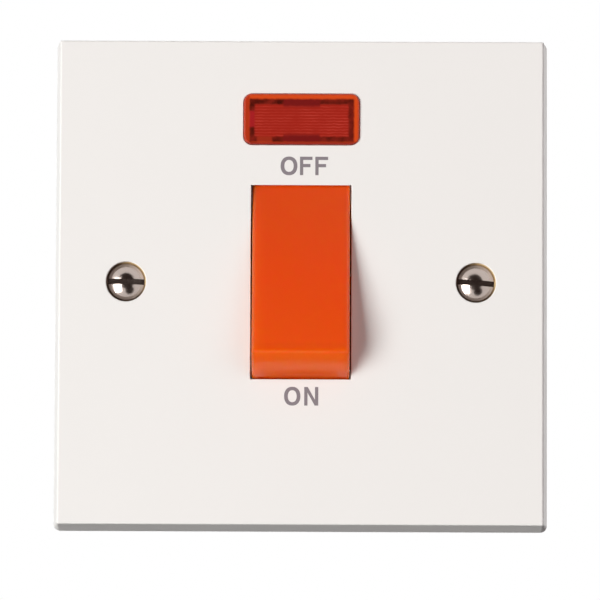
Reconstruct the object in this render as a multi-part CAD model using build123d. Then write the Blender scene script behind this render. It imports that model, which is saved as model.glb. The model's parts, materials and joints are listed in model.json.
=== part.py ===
from build123d import *
import math
import os

# A double pole wall switch with an indicator lamp, shown at OFF.
# X runs to the right, Z up, and the face looks along -Y. Sizes are in millimetres.
# The origin is the centre of the plate's back, on the wall.

# Front plate
PLATE_SIDE = 85.5
PLATE_DEPTH = 8.5
PLATE_DRAFT = 1.0
PLATE_CORNER_R = 1.2
PLATE_EDGE_R = 0.35
FACE_WALL = 2.4
RIM_WALL = 2.2
APERTURE_EDGE_R = 0.15
PLATE_RIB = 1.2
PLATE_RIB_DEPTH = 2.0

# Fixing screws and the wells that they sit in
FIXING_PITCH = 60.3
WELL_R = 3.45
WELL_DEPTH = 1.1
FIXING_HOLE_R = 2.0
FIXING_BOSS_R = 5.0
FIXING_HEAD_R = 3.15
FIXING_HEAD_EDGE = 0.35
FIXING_SEAT_GAP = 0.02
FIXING_DOME_HEIGHT = 0.95
FIXING_SHANK_R = 1.5
FIXING_THREAD_R = 1.75
FIXING_LENGTH = 25.0
FIXING_SLOT_WIDTH = 0.95
FIXING_SLOT_DEPTH = 1.2
FIXING_SLOT_TURN_LEFT = 1.0
FIXING_SLOT_TURN_RIGHT = 4.0
THREAD_RUNOUT = 0.3
SCREW_TIP_CHAMFER = 0.5

# Rocker
ROCKER_WIDTH = 16.8
ROCKER_FACE_LENGTH = 29.9
ROCKER_FACE_RISE = 2.7
ROCKER_SWING = 26.0
PIVOT_DEPTH = 7.5
ROCKER_SIDE_GAP = 0.25
ROCKER_END_GAP = 0.2
ROCKER_WALL = 1.7
ROCKER_SKIRT_ANGLE = 8.0
ROCKER_SKIRT_DEPTH = 7.0
ROCKER_CREST_R = 0.6
ROCKER_EDGE_R = 0.4
ROCKER_HUB_DEPTH = 2.2
ROCKER_HUB_HALF = 3.6
ROCKER_WEB = 1.2
ROCKER_WEB_DEPTH = 4.0
TRUNNION_R = 1.6
TRUNNION_LENGTH = 1.7
TRUNNION_CLEARANCE = 0.05
COLLAR_WALL = 2.0

# Plungers and springs, in two barrels of the rocker
BARREL_R = 3.0
BARREL_END = 6.0
BARREL_SEAT = 6.0
PLUNGER_R = 2.0
PLUNGER_CLEARANCE = 0.1
PLUNGER_TIP = 11.0
PLUNGER_TAIL = 0.5
SPRING_WIRE = 0.5
SPRING_TURNS = 5
SPRING_SIDE_GAP = 0.15
SPRING_END_GAP = 0.02

# Contact bars, one for each pole
BARRIER = 1.5
BAR_WIDTH = 5.6
BAR_THICKNESS = 1.2
BAR_SWING = 16.4
BAR_REACH_UP = 12.5
BAR_REACH_DOWN = 11.5
PLUNGER_TO_BAR = 0.1
FULCRUM_R = 0.55
FULCRUM_CLEARANCE = 0.05
CONTACT_ARM = 10.5
STOP_ARM = 9.5
MOVING_TIP_R = 2.2
MOVING_TIP_RIM = 0.4
MOVING_TIP_HEIGHT = 1.0
FIXED_TIP_R = 2.4
FIXED_TIP_HEIGHT = 0.7
CONTACT_GAP = 0.05

# Brass strips from the contacts to the terminals
STRIP_WIDTH = 5.6
STRIP_THICKNESS = 1.4
STRIP_BEND_R = 1.2
STRIP_FOOT_HEIGHT = 8.0
FEED_OVERHANG = 1.9
EAR_WIDTH = 0.8
EAR_LENGTH = 1.8
EAR_RISE = 2.4
EAR_CLEARANCE = 0.5
SLOT_CLEARANCE = 0.05

# Tunnel terminals and their clamping screws
TERMINAL_WIDTH = 11.0
TERMINAL_LENGTH = 12.0
TERMINAL_BORE_R = 3.5
TERMINAL_FRONT_WALL = 1.6
TERMINAL_CLAMP_WALL = 2.4
TERMINAL_END_WALL = 1.2
TERMINAL_CHAMFER = 0.5
CLAMP_SCREW_R = 2.0
CLAMP_HEAD_R = 2.6
CLAMP_HEAD_HEIGHT = 2.2
CLAMP_PITCH = 5.6
CLAMP_STANDOFF = 1.3
CLAMP_SLOT_WIDTH = 1.0
CLAMP_SLOT_DEPTH = 1.2
THREAD_CLEARANCE = 0.05

# Base moulding and the screws that draw it to the plate
BASE_WALL = 2.4
BASE_WEB = 1.4
BASE_FLOOR = 2.4
BASE_CORNER_R = 1.5
BASE_EDGE_CHAMFER = 0.6
CAVITY_MARGIN = 0.7
POCKET_CLEARANCE = 0.1
TERMINAL_RECESS = 0.5
BASE_BACK_MARGIN = 0.5
BASE_SCREW_X = 13.4
BASE_SCREW_R = 1.45
BASE_SCREW_LENGTH = 10.0
BASE_SCREW_HEAD_R = 2.7
BASE_SCREW_HEAD_HEIGHT = 1.9
BASE_SCREW_SLOT_WIDTH = 0.8
BASE_SCREW_SLOT_DEPTH = 1.0
BASE_SCREW_CLEARANCE = 0.15
LUG_R = 4.4
LUG_THICKNESS = 5.0
PLATE_BOSS_R = 3.2

# Lens over the lamp
LENS_WIDTH = 20.0
LENS_HEIGHT = 8.85
LENS_CENTRE_Z = 28.2
LENS_CORNER_R = 1.5
LENS_PROUD = 0.4
LENS_EDGE_R = 0.35
LENS_FRONT_WALL = 1.4
LENS_WALL = 0.85
LENS_CLEARANCE = 0.05
LENS_FLANGE = 1.2
LENS_FLANGE_THICKNESS = 1.0
LENS_RIB_PITCH = 0.5
LENS_RIB_HEIGHT = 0.3
LENS_RIB_MARGIN = 1.0

# Lamp, its series resistor and leads
LAMP_R = 2.6
LAMP_LENGTH = 13.0
LAMP_SET_BACK = 2.2
LAMP_END_R = 1.6
LAMP_CLEARANCE = 0.05
CRADLE_OFFSET = 4.0
CRADLE_RIB = 1.4
CRADLE_WALL = 1.6
RESISTOR_R = 1.2
RESISTOR_LENGTH = 6.3
RESISTOR_START = 1.0
LEAD_R = 0.4
LEAD_BEND_R = 1.5
LEAD_OUT = 2.7
LEAD_HOLE_CLEARANCE = 0.2
LEAD_TO_COLLAR = 0.7

# Depths along Y that follow from the sizes above
face_y = -PLATE_DEPTH
inner_y = face_y + FACE_WALL
pivot_y = face_y + PIVOT_DEPTH
base_front_y = pivot_y + TRUNNION_R + 2 * TRUNNION_CLEARANCE
bar_swing_half = math.radians(BAR_SWING / 2)
bar_top_y = pivot_y + PLUNGER_TIP + PLUNGER_TO_BAR
bar_under_y = bar_top_y + BAR_THICKNESS
fulcrum_y = bar_under_y + FULCRUM_R + FULCRUM_CLEARANCE
closed_under_y = fulcrum_y - (FULCRUM_R + FULCRUM_CLEARANCE) * math.cos(bar_swing_half)
fixed_tip_y = closed_under_y + MOVING_TIP_HEIGHT + CONTACT_GAP
strip_y = fixed_tip_y + FIXED_TIP_HEIGHT
floor_y = strip_y + STRIP_THICKNESS
terminal_height = TERMINAL_FRONT_WALL + 2 * TERMINAL_BORE_R + TERMINAL_CLAMP_WALL
foot_end_y = strip_y + STRIP_FOOT_HEIGHT
terminal_y = strip_y - TERMINAL_FRONT_WALL - BASE_WEB / 2
bore_y = terminal_y + TERMINAL_FRONT_WALL + TERMINAL_BORE_R
terminal_back_y = terminal_y + terminal_height
clamp_head_y = terminal_back_y + CLAMP_STANDOFF
base_back_y = clamp_head_y + CLAMP_HEAD_HEIGHT + BASE_BACK_MARGIN
lug_back_y = base_front_y + LUG_THICKNESS
flange_y = inner_y + LENS_FLANGE_THICKNESS
lamp_y = inner_y + LAMP_SET_BACK

# Half widths along X
aperture_half_x = ROCKER_WIDTH / 2 + ROCKER_SIDE_GAP
collar_half_x = aperture_half_x + COLLAR_WALL
pole_x = (BARRIER / 2 + aperture_half_x) / 2
terminal_x = pole_x - STRIP_WIDTH / 2 + TERMINAL_WIDTH / 2
pocket_in_x = pole_x - STRIP_WIDTH / 2 - POCKET_CLEARANCE
pocket_out_x = terminal_x + TERMINAL_WIDTH / 2 + POCKET_CLEARANCE
base_half_x = pocket_out_x + BASE_WALL
lead_x = LAMP_LENGTH / 2 + LEAD_OUT

# Half heights along Z
nose_r = math.hypot(ROCKER_FACE_LENGTH / 2, PIVOT_DEPTH + ROCKER_FACE_RISE)
relief_r = nose_r + ROCKER_END_GAP
collar_half_z = relief_r + COLLAR_WALL
cavity_half_z = BAR_REACH_UP + CAVITY_MARGIN
foot_z = cavity_half_z + BASE_WEB
terminal_z = foot_z + STRIP_THICKNESS
terminal_end_z = terminal_z + TERMINAL_LENGTH
base_half_z = terminal_end_z + TERMINAL_RECESS
terminal_middle_z = terminal_z + TERMINAL_LENGTH / 2
lead_z = collar_half_z + LEAD_TO_COLLAR + LEAD_R

# Directions that mirrored pieces take along X and Z
LEFT = -1
RIGHT = 1
SIDES = {"left": LEFT, "right": RIGHT}
UP = 1
DOWN = -1


# Basic shapes
def block(x0, x1, y0, y1, z0, z1):
    centre = Pos((x0 + x1) / 2, (y0 + y1) / 2, (z0 + z1) / 2)
    return centre * Box(abs(x1 - x0), abs(y1 - y0), abs(z1 - z0))


def rod_x(radius, x0, x1, y, z):
    return Pos((x0 + x1) / 2, y, z) * Rot(0, 90, 0) * Cylinder(radius, abs(x1 - x0))


def rod_y(radius, x, z, y0, y1):
    return Pos(x, (y0 + y1) / 2, z) * Rot(90, 0, 0) * Cylinder(radius, abs(y1 - y0))


def rod_z(radius, x, y, z0, z1):
    return Pos(x, y, (z0 + z1) / 2) * Cylinder(radius, abs(z1 - z0))


def turned_y(points, x, z, domed=False):
    """A turned piece about a line along Y, from (radius, y) points round its half section.

    A domed piece closes with an arc from its last point, on the axis, to its first, on the rim.
    """
    outline = Polyline(*points, close=not domed)
    if domed:
        outline += dome_arc(points[-1], points[0])
    return Pos(x, 0, z) * revolve(make_face(outline), Axis.Y)


def dome_arc(top, rim):
    rim_r = rim[0]
    height = rim[1] - top[1]
    sphere_r = (rim_r**2 + height**2) / (2 * height)
    half_turn = math.asin(rim_r / sphere_r) / 2
    middle = (abs(sphere_r * math.sin(half_turn)), top[1] + sphere_r * (1 - math.cos(half_turn)))
    return ThreePointArc(top, middle, rim)


def panel(width, height, corner_r, y0, y1, taper=0, z=0):
    """A rounded rectangle in the XZ plane at y0, drawn towards the front as far as y1."""
    outline = Pos(0, y0, z) * (Plane.XZ * RectangleRounded(width, height, corner_r))
    return extrude(outline, y0 - y1, taper=taper)


def tilt(shape, degrees, y):
    """Turns a shape about the line along X at this depth and at mid height."""
    return Pos(0, y, 0) * Rot(degrees, 0, 0) * Pos(0, -y, 0) * shape


# Front plate
def front_plate():
    draft_angle = math.degrees(math.atan2(PLATE_DRAFT, PLATE_DEPTH))
    shell = panel(PLATE_SIDE, PLATE_SIDE, PLATE_CORNER_R, 0, face_y, draft_angle)
    shell = fillet(shell.faces().sort_by(Axis.Y)[0].outer_wire().edges(), PLATE_EDGE_R)
    hollow_side = PLATE_SIDE - 2 * RIM_WALL
    shell -= panel(hollow_side, hollow_side, PLATE_CORNER_R, 0, inner_y, draft_angle)
    shell += block(-collar_half_x, collar_half_x, inner_y, base_front_y, -collar_half_z, collar_half_z)
    for side in SIDES.values():
        shell += rod_y(FIXING_BOSS_R, side * FIXING_PITCH / 2, 0, inner_y, 0)
        shell += rod_y(PLATE_BOSS_R, side * BASE_SCREW_X, 0, inner_y, base_front_y)
        shell += plate_ribs(side)
    shell -= aperture()
    shell -= lens_body(LENS_CLEARANCE, inner_y)
    for side in SIDES.values():
        shell -= screw_well(side * FIXING_PITCH / 2)
        shell -= trunnion_slot(side)
    openings = shell.faces().sort_by(Axis.Y)[0].inner_wires()
    shell = fillet([edge for wire in openings for edge in wire.edges()], APERTURE_EDGE_R)
    pilot_y = base_front_y - BASE_SCREW_LENGTH + LUG_THICKNESS - SCREW_TIP_CHAMFER
    for side in SIDES.values():
        shell -= rod_y(BASE_SCREW_R + THREAD_CLEARANCE, side * BASE_SCREW_X, 0, pilot_y, base_front_y)
    return shell


def plate_ribs(side):
    """An upright stiffening rib, crossed by one from the collar through the fixing boss to the rim."""
    half = PLATE_RIB / 2
    rib_y = inner_y + PLATE_RIB_DEPTH
    reach = PLATE_SIDE / 2 - RIM_WALL
    x = side * (BASE_SCREW_X + LUG_R + FIXING_PITCH / 2 - FIXING_BOSS_R) / 2
    upright = block(x - half, x + half, inner_y, rib_y, -reach, reach)
    return upright + block(side * BASE_SCREW_X, side * reach, inner_y, rib_y, -half, half)


def aperture():
    """Room for the rocker's swing: round about the pivot, then straight to the back of the collar."""
    swept = rod_x(relief_r, -aperture_half_x, aperture_half_x, pivot_y, 0)
    straight = block(-aperture_half_x, aperture_half_x, pivot_y, base_front_y, -relief_r, relief_r)
    return swept + straight


def trunnion_slot(side):
    """A bearing slot in the collar, open to the back so that the rocker drops in."""
    slot_r = TRUNNION_R + TRUNNION_CLEARANCE
    x0 = side * aperture_half_x
    x1 = side * (ROCKER_WIDTH / 2 + TRUNNION_LENGTH + ROCKER_SIDE_GAP)
    return rod_x(slot_r, x0, x1, pivot_y, 0) + block(x0, x1, pivot_y, base_front_y, -slot_r, slot_r)


def screw_well(x):
    well_y = face_y + WELL_DEPTH
    seat_y = well_y + WELL_R - FIXING_HOLE_R
    section = [
        (0, face_y),
        (WELL_R, face_y),
        (WELL_R, well_y),
        (FIXING_HOLE_R, seat_y),
        (FIXING_HOLE_R, 0),
        (0, 0),
    ]
    return turned_y(section, x, 0)


# Fixing screws
def fixing_screw(side, slot_turn):
    rim_y = face_y + WELL_DEPTH + WELL_R - FIXING_HEAD_R - FIXING_SEAT_GAP
    edge_y = rim_y - FIXING_HEAD_EDGE
    neck_y = rim_y + FIXING_HEAD_R - FIXING_SHANK_R
    tip_y = edge_y + FIXING_LENGTH
    top_y = edge_y - FIXING_DOME_HEIGHT
    section = [
        (FIXING_HEAD_R, edge_y),
        (FIXING_HEAD_R, rim_y),
        (FIXING_SHANK_R, neck_y),
        (FIXING_SHANK_R, THREAD_RUNOUT),
        (FIXING_THREAD_R, THREAD_RUNOUT),
        (FIXING_THREAD_R, tip_y - SCREW_TIP_CHAMFER),
        (FIXING_THREAD_R - SCREW_TIP_CHAMFER, tip_y),
        (0, tip_y),
        (0, top_y),
    ]
    x = side * FIXING_PITCH / 2
    half = FIXING_SLOT_WIDTH / 2
    slot = block(-FIXING_HEAD_R, FIXING_HEAD_R, top_y, top_y + FIXING_SLOT_DEPTH, -half, half)
    return turned_y(section, x, 0, domed=True) - Pos(x, 0, 0) * Rot(0, slot_turn, 0) * slot


def fixing_screws():
    turns = {LEFT: FIXING_SLOT_TURN_LEFT, RIGHT: FIXING_SLOT_TURN_RIGHT}
    return Compound([fixing_screw(side, turn) for side, turn in turns.items()])


# Rocker, drawn half way through its swing with its pivot at the origin of the section
def rocker():
    half = ROCKER_WIDTH / 2
    cheek_x = half - ROCKER_WALL
    body = extrude(rocker_outline(), half, both=True)
    rims = body.edges().filter_by(lambda edge: edge.center().Y < -PIVOT_DEPTH)
    crests = rims.filter_by(Axis.X)
    body = fillet(crests, ROCKER_CREST_R)
    skirt_y = -nose_r * math.sin(math.radians(ROCKER_SKIRT_ANGLE))
    cheeks = body.faces().filter_by(Axis.X)
    rims = cheeks.edges().filter_by(lambda edge: edge.center().Y < skirt_y)
    body = fillet(rims, ROCKER_EDGE_R)
    roof_y = -(PIVOT_DEPTH + ROCKER_FACE_RISE) + ROCKER_WALL
    inside = rod_x(nose_r - ROCKER_WALL, -cheek_x, cheek_x, 0, 0)
    body -= inside & block(-cheek_x, cheek_x, roof_y, nose_r, -nose_r, nose_r)
    web_half = ROCKER_WEB / 2
    web_reach = math.sqrt((nose_r - ROCKER_WALL) ** 2 - (roof_y + ROCKER_WEB_DEPTH) ** 2)
    web = block(-web_half, web_half, roof_y, roof_y + ROCKER_WEB_DEPTH, -web_reach, web_reach)
    body += web & rod_x(nose_r - ROCKER_WALL / 2, -web_half, web_half, 0, 0)
    for side in SIDES.values():
        body += rod_y(BARREL_R, side * pole_x, 0, roof_y, BARREL_END)
        body += rod_x(TRUNNION_R, side * cheek_x, side * (half + TRUNNION_LENGTH), 0, 0)
    for side in SIDES.values():
        body -= rod_y(PLUNGER_R + PLUNGER_CLEARANCE, side * pole_x, 0, -BARREL_SEAT, BARREL_END)
    return rocker_at_rest(body)


def rocker_outline():
    def polar(degrees, radius=nose_r):
        turn = math.radians(degrees)
        return (-radius * math.sin(turn), radius * math.cos(turn))

    crest_angle = math.degrees(math.atan2(PIVOT_DEPTH + ROCKER_FACE_RISE, ROCKER_FACE_LENGTH / 2))
    middle_angle = (crest_angle + ROCKER_SKIRT_ANGLE) / 2
    top_crest = polar(crest_angle)
    low_crest = polar(180 - crest_angle)
    top_skirt = polar(ROCKER_SKIRT_ANGLE)
    low_skirt = polar(180 - ROCKER_SKIRT_ANGLE)
    cheek_r = nose_r - ROCKER_SKIRT_DEPTH
    top_cheek = polar(ROCKER_SKIRT_ANGLE, cheek_r)
    low_cheek = polar(180 - ROCKER_SKIRT_ANGLE, cheek_r)
    top_hub = (ROCKER_HUB_DEPTH, ROCKER_HUB_HALF)
    low_hub = (ROCKER_HUB_DEPTH, -ROCKER_HUB_HALF)
    edges = Line(low_crest, top_crest)
    edges += ThreePointArc(top_crest, polar(middle_angle), top_skirt)
    edges += Polyline(top_skirt, top_cheek, top_hub, low_hub, low_cheek, low_skirt)
    edges += ThreePointArc(low_skirt, polar(180 - middle_angle), low_crest)
    return Plane.YZ * make_face(edges)


def rocker_at_rest(shape):
    return Pos(0, pivot_y, 0) * Rot(-ROCKER_SWING / 2, 0, 0) * shape


# Plungers and springs
def plunger(side):
    shoulder_y = PLUNGER_TIP - PLUNGER_R
    stem = rod_y(PLUNGER_R, side * pole_x, 0, -PLUNGER_TAIL, shoulder_y)
    nose = Pos(side * pole_x, shoulder_y, 0) * Sphere(PLUNGER_R)
    return rocker_at_rest(stem + nose)


def plunger_spring(side):
    coil_r = PLUNGER_R + PLUNGER_CLEARANCE - SPRING_SIDE_GAP - SPRING_WIRE / 2
    start_y = -BARREL_SEAT + SPRING_WIRE / 2 + SPRING_END_GAP
    length = BARREL_SEAT - PLUNGER_TAIL - SPRING_WIRE - 2 * SPRING_END_GAP
    start = (side * pole_x, start_y, 0)
    path = Helix(length / SPRING_TURNS, length, coil_r, center=start, direction=(0, 1, 0))
    section = Plane(origin=path @ 0, z_dir=path % 0) * Circle(SPRING_WIRE / 2)
    return rocker_at_rest(sweep(section, path, is_frenet=True))


# Contact bars: a shallow V, so that the pressed arm lies along the strips
def contact_bar(side):
    def arm_y(y, z):
        return y - abs(z) * math.tan(bar_swing_half)

    reaches = [-BAR_REACH_DOWN, 0, BAR_REACH_UP]
    top = [(arm_y(bar_top_y, z), z) for z in reaches]
    under = [(arm_y(bar_under_y, z), z) for z in reversed(reaches)]
    section = Plane.YZ * make_face(Polyline(*top, *under, close=True))
    bar = Pos(side * pole_x, 0, 0) * extrude(section, BAR_WIDTH / 2, both=True)
    notch_x = STRIP_WIDTH / 2 - EAR_WIDTH - SLOT_CLEARANCE
    notch_half = EAR_LENGTH / 2 + EAR_CLEARANCE
    for edge in (LEFT, RIGHT):
        x0 = side * pole_x + edge * notch_x
        x1 = side * pole_x + edge * BAR_WIDTH
        y0 = bar_top_y - BAR_THICKNESS
        y1 = bar_under_y + BAR_THICKNESS
        bar -= block(x0, x1, y0, y1, -notch_half, notch_half)
    return tilt(bar, BAR_SWING / 2, fulcrum_y)


def moving_contact(side):
    """A domed tip under the bar's upper arm, drawn closed and then swung open."""
    rim_y = closed_under_y + MOVING_TIP_RIM
    tip_y = closed_under_y + MOVING_TIP_HEIGHT
    section = [
        (MOVING_TIP_R, rim_y),
        (MOVING_TIP_R, closed_under_y),
        (0, closed_under_y),
        (0, tip_y),
    ]
    tip = turned_y(section, side * pole_x, CONTACT_ARM, domed=True)
    return tilt(tip, BAR_SWING, fulcrum_y)


# Brass strips
def footed_strip(way, start_z):
    """A strip along the base from start_z, bent back at its end to lie against a terminal."""
    half = STRIP_WIDTH / 2
    strip = block(-half, half, strip_y, floor_y, start_z, way * terminal_z)
    strip += block(-half, half, strip_y, foot_end_y, way * foot_z, way * terminal_z)
    front_edges = strip.faces().sort_by(Axis.Y)[0].edges().filter_by(Axis.X)
    bend = front_edges.sort_by(lambda edge: way * edge.center().Z)[-1]
    return fillet(bend, STRIP_BEND_R)


def feed_strip(side):
    """From the supply terminal to the fulcrum rib, with a stop rib and two ears that keep the bar."""
    half = STRIP_WIDTH / 2
    strip = footed_strip(DOWN, FEED_OVERHANG)
    stop_y = closed_under_y + CONTACT_GAP + FULCRUM_R
    inner = half - EAR_WIDTH
    for rib_y, rib_z in ((fulcrum_y, 0), (stop_y, -STOP_ARM)):
        strip += rod_x(FULCRUM_R, -inner, inner, rib_y, rib_z)
        strip += block(-inner, inner, rib_y, strip_y, rib_z - FULCRUM_R, rib_z + FULCRUM_R)
    ear_half = EAR_LENGTH / 2
    for edge in (LEFT, RIGHT):
        strip += block(edge * inner, edge * half, strip_y - EAR_RISE, strip_y, -ear_half, ear_half)
    return Pos(side * pole_x, 0, 0) * strip


def load_strip(side):
    """From the fixed tip to the load terminal."""
    return Pos(side * pole_x, 0, 0) * footed_strip(UP, CONTACT_ARM - FIXED_TIP_R)


def fixed_contact(side):
    return rod_y(FIXED_TIP_R, side * pole_x, CONTACT_ARM, fixed_tip_y, strip_y)


# Terminals
def terminal(side, way):
    """A brass block with a blind tunnel for the conductor, open at its outer end."""
    x = side * terminal_x
    half = TERMINAL_WIDTH / 2
    near_z = way * terminal_z
    far_z = way * terminal_end_z
    body = block(x - half, x + half, terminal_y, terminal_back_y, near_z, far_z)
    body = chamfer(body.edges().filter_by(Axis.Z), TERMINAL_CHAMFER)
    body -= rod_z(TERMINAL_BORE_R, x, bore_y, near_z + way * TERMINAL_END_WALL, far_z)
    for z in clamp_places(way):
        body -= rod_y(CLAMP_SCREW_R + THREAD_CLEARANCE, x, z, bore_y, terminal_back_y)
    return body


def clamp_places(way):
    return [way * (terminal_middle_z + offset * CLAMP_PITCH / 2) for offset in (-1, 1)]


def clamp_screw(x, z):
    """A slotted cheese head screw, backed out until its tip clears the tunnel."""
    top_y = clamp_head_y + CLAMP_HEAD_HEIGHT
    tip_y = bore_y + TERMINAL_BORE_R
    section = [
        (0, tip_y),
        (CLAMP_SCREW_R - SCREW_TIP_CHAMFER, tip_y),
        (CLAMP_SCREW_R, tip_y + SCREW_TIP_CHAMFER),
        (CLAMP_SCREW_R, clamp_head_y),
        (CLAMP_HEAD_R, clamp_head_y),
        (CLAMP_HEAD_R, top_y),
        (0, top_y),
    ]
    half = CLAMP_SLOT_WIDTH / 2
    reach = CLAMP_HEAD_R
    slot = block(x - reach, x + reach, top_y - CLAMP_SLOT_DEPTH, top_y, z - half, z + half)
    return turned_y(section, x, z) - slot


def clamp_screws():
    screws = []
    for side in SIDES.values():
        for way in (UP, DOWN):
            screws += [clamp_screw(side * terminal_x, z) for z in clamp_places(way)]
    return Compound(screws)


# Base moulding
def base_moulding():
    base = panel(2 * base_half_x, 2 * base_half_z, BASE_CORNER_R, base_back_y, base_front_y)
    base = chamfer(base.faces().sort_by(Axis.Y)[-1].edges(), BASE_EDGE_CHAMFER)
    for side in SIDES.values():
        base += rod_y(LUG_R, side * BASE_SCREW_X, 0, base_front_y, lug_back_y)
    base += lamp_cradle()
    for way in (UP, DOWN):
        base -= front_recess(way)
    for side in SIDES.values():
        base -= contact_cavity(side)
        base -= back_recess(side)
        base -= base_screw_hole(side)
        base -= rod_y(LEAD_R + LEAD_HOLE_CLEARANCE, side * lead_x, lead_z, base_front_y, terminal_y)
        for way in (UP, DOWN):
            base -= terminal_pocket(side, way)
    return base


def contact_cavity(side):
    """Room for one pole's contacts, open to the rocker and walled off from the other pole."""
    x0 = side * BARRIER / 2
    x1 = side * aperture_half_x
    return block(x0, x1, base_front_y, floor_y, -cavity_half_z, cavity_half_z)


def back_recess(side):
    """A hollow behind the contacts, with a barrier left between the poles."""
    half = foot_z - BASE_FLOOR
    return block(side * BARRIER / 2, side * pocket_out_x, floor_y + BASE_FLOOR, base_back_y, -half, half)


def front_recess(way):
    """A hollow in front of the terminals."""
    end_z = base_half_z - BASE_WALL
    back_y = terminal_y - BASE_FLOOR
    return block(-pocket_out_x, pocket_out_x, base_front_y, back_y, way * foot_z, way * end_z)


def base_screw_hole(side):
    x = side * BASE_SCREW_X
    shank = rod_y(BASE_SCREW_R + BASE_SCREW_CLEARANCE, x, 0, base_front_y, lug_back_y)
    return shank + rod_y(BASE_SCREW_HEAD_R + BASE_SCREW_CLEARANCE, x, 0, lug_back_y, base_back_y)


def terminal_pocket(side, way):
    """Room for a terminal, open at its end and back, with a slot to the contacts for its strip."""
    x0 = side * pocket_in_x
    x1 = side * pocket_out_x
    pocket = block(x0, x1, terminal_y, base_back_y, way * foot_z, way * base_half_z)
    strip_half = STRIP_WIDTH / 2 + SLOT_CLEARANCE
    x = side * pole_x
    slot_y = strip_y - SLOT_CLEARANCE
    slot_z = way * cavity_half_z
    return pocket + block(x - strip_half, x + strip_half, slot_y, floor_y, slot_z, way * foot_z)


def lamp_cradle():
    """A tongue that closes the lens from behind, with two ribs that hold the lamp and keep the lens in."""
    flange_half = LENS_HEIGHT / 2 + LENS_FLANGE
    top_z = LENS_CENTRE_Z + flange_half
    low_z = LENS_CENTRE_Z - flange_half
    reach = LENS_WIDTH / 2 + LENS_FLANGE
    root_z = base_half_z - BASE_WALL
    cradle = block(-reach, reach, base_front_y, base_front_y + CRADLE_WALL, root_z, top_z)
    finger_y = flange_y + LENS_CLEARANCE
    for side in SIDES.values():
        x0 = side * CRADLE_OFFSET - CRADLE_RIB / 2
        x1 = x0 + CRADLE_RIB
        cradle += block(x0, x1, lamp_y, base_front_y, low_z, top_z)
        cradle += block(x0, x1, finger_y, lamp_y, low_z, low_z + LENS_FLANGE)
        cradle += block(x0, x1, finger_y, lamp_y, top_z - LENS_FLANGE, top_z)
    return cradle - rod_x(LAMP_R + LAMP_CLEARANCE, -reach, reach, lamp_y, LENS_CENTRE_Z)


def base_screw(side):
    """A pan head screw from the back of a lug into the plate's boss."""
    top_y = lug_back_y + BASE_SCREW_HEAD_HEIGHT
    tip_y = lug_back_y - BASE_SCREW_LENGTH
    rim_y = lug_back_y + BASE_SCREW_HEAD_HEIGHT / 2
    section = [
        (BASE_SCREW_HEAD_R, rim_y),
        (BASE_SCREW_HEAD_R, lug_back_y),
        (BASE_SCREW_R, lug_back_y),
        (BASE_SCREW_R, tip_y + SCREW_TIP_CHAMFER),
        (BASE_SCREW_R - SCREW_TIP_CHAMFER, tip_y),
        (0, tip_y),
        (0, top_y),
    ]
    x = side * BASE_SCREW_X
    half = BASE_SCREW_SLOT_WIDTH / 2
    reach = BASE_SCREW_HEAD_R
    slot = block(x - reach, x + reach, top_y - BASE_SCREW_SLOT_DEPTH, top_y, -half, half)
    return turned_y(section, x, 0, domed=True) - slot


# Lens
def lens_body(clearance, back_y):
    """The lens as it fills its window, from in front of the face to this depth."""
    width = LENS_WIDTH + 2 * clearance
    height = LENS_HEIGHT + 2 * clearance
    return panel(width, height, LENS_CORNER_R + clearance, back_y, face_y - LENS_PROUD, z=LENS_CENTRE_Z)


def neon_lens():
    lens = lens_body(0, flange_y)
    lens = fillet(lens.faces().sort_by(Axis.Y)[0].edges(), LENS_EDGE_R)
    flange_width = LENS_WIDTH + 2 * LENS_FLANGE
    flange_height = LENS_HEIGHT + 2 * LENS_FLANGE
    flange_r = LENS_CORNER_R + LENS_FLANGE
    lens += panel(flange_width, flange_height, flange_r, flange_y, inner_y, z=LENS_CENTRE_Z)
    room_width = LENS_WIDTH - 2 * LENS_WALL
    room_height = LENS_HEIGHT - 2 * LENS_WALL
    room_y = face_y - LENS_PROUD + LENS_FRONT_WALL
    room_r = LENS_CORNER_R - LENS_WALL
    lens -= panel(room_width, room_height, room_r, flange_y, room_y, z=LENS_CENTRE_Z)
    rib_half = room_width / 2 - LENS_RIB_MARGIN
    rib_count = int((room_height - 2 * LENS_RIB_MARGIN) / LENS_RIB_PITCH)
    root_y = room_y - LENS_RIB_HEIGHT
    for i in range(rib_count):
        z = LENS_CENTRE_Z + (i - (rib_count - 1) / 2) * LENS_RIB_PITCH
        lens += prism_rib(rib_half, root_y, room_y, z)
    return lens


def prism_rib(half_length, root_y, room_y, z):
    """One prism of the lens's ribbed back, sunk into its front wall at the root."""
    half = LENS_RIB_PITCH / 2
    corners = [
        (root_y, z - half),
        (room_y, z - half),
        (room_y + LENS_RIB_HEIGHT, z),
        (room_y, z + half),
        (root_y, z + half),
    ]
    section = Plane.YZ * make_face(Polyline(*corners, close=True))
    return extrude(section, half_length, both=True)


# Lamp, resistor and leads
def neon_lamp():
    lamp = rod_x(LAMP_R, -LAMP_LENGTH / 2, LAMP_LENGTH / 2, lamp_y, LENS_CENTRE_Z)
    return fillet(lamp.edges().filter_by(GeomType.CIRCLE), LAMP_END_R)


def neon_resistor():
    body = rod_y(RESISTOR_R, -lead_x, lead_z, base_front_y + RESISTOR_START, resistor_end_y())
    return fillet(body.edges().filter_by(GeomType.CIRCLE), LEAD_R)


def resistor_end_y():
    return base_front_y + RESISTOR_START + RESISTOR_LENGTH


def lead(points, bends):
    path = FilletPolyline(*points, radius=LEAD_BEND_R) if bends else Line(*points)
    section = Plane(origin=path @ 0, z_dir=path % 0) * Circle(LEAD_R)
    return sweep(section, path)


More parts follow.
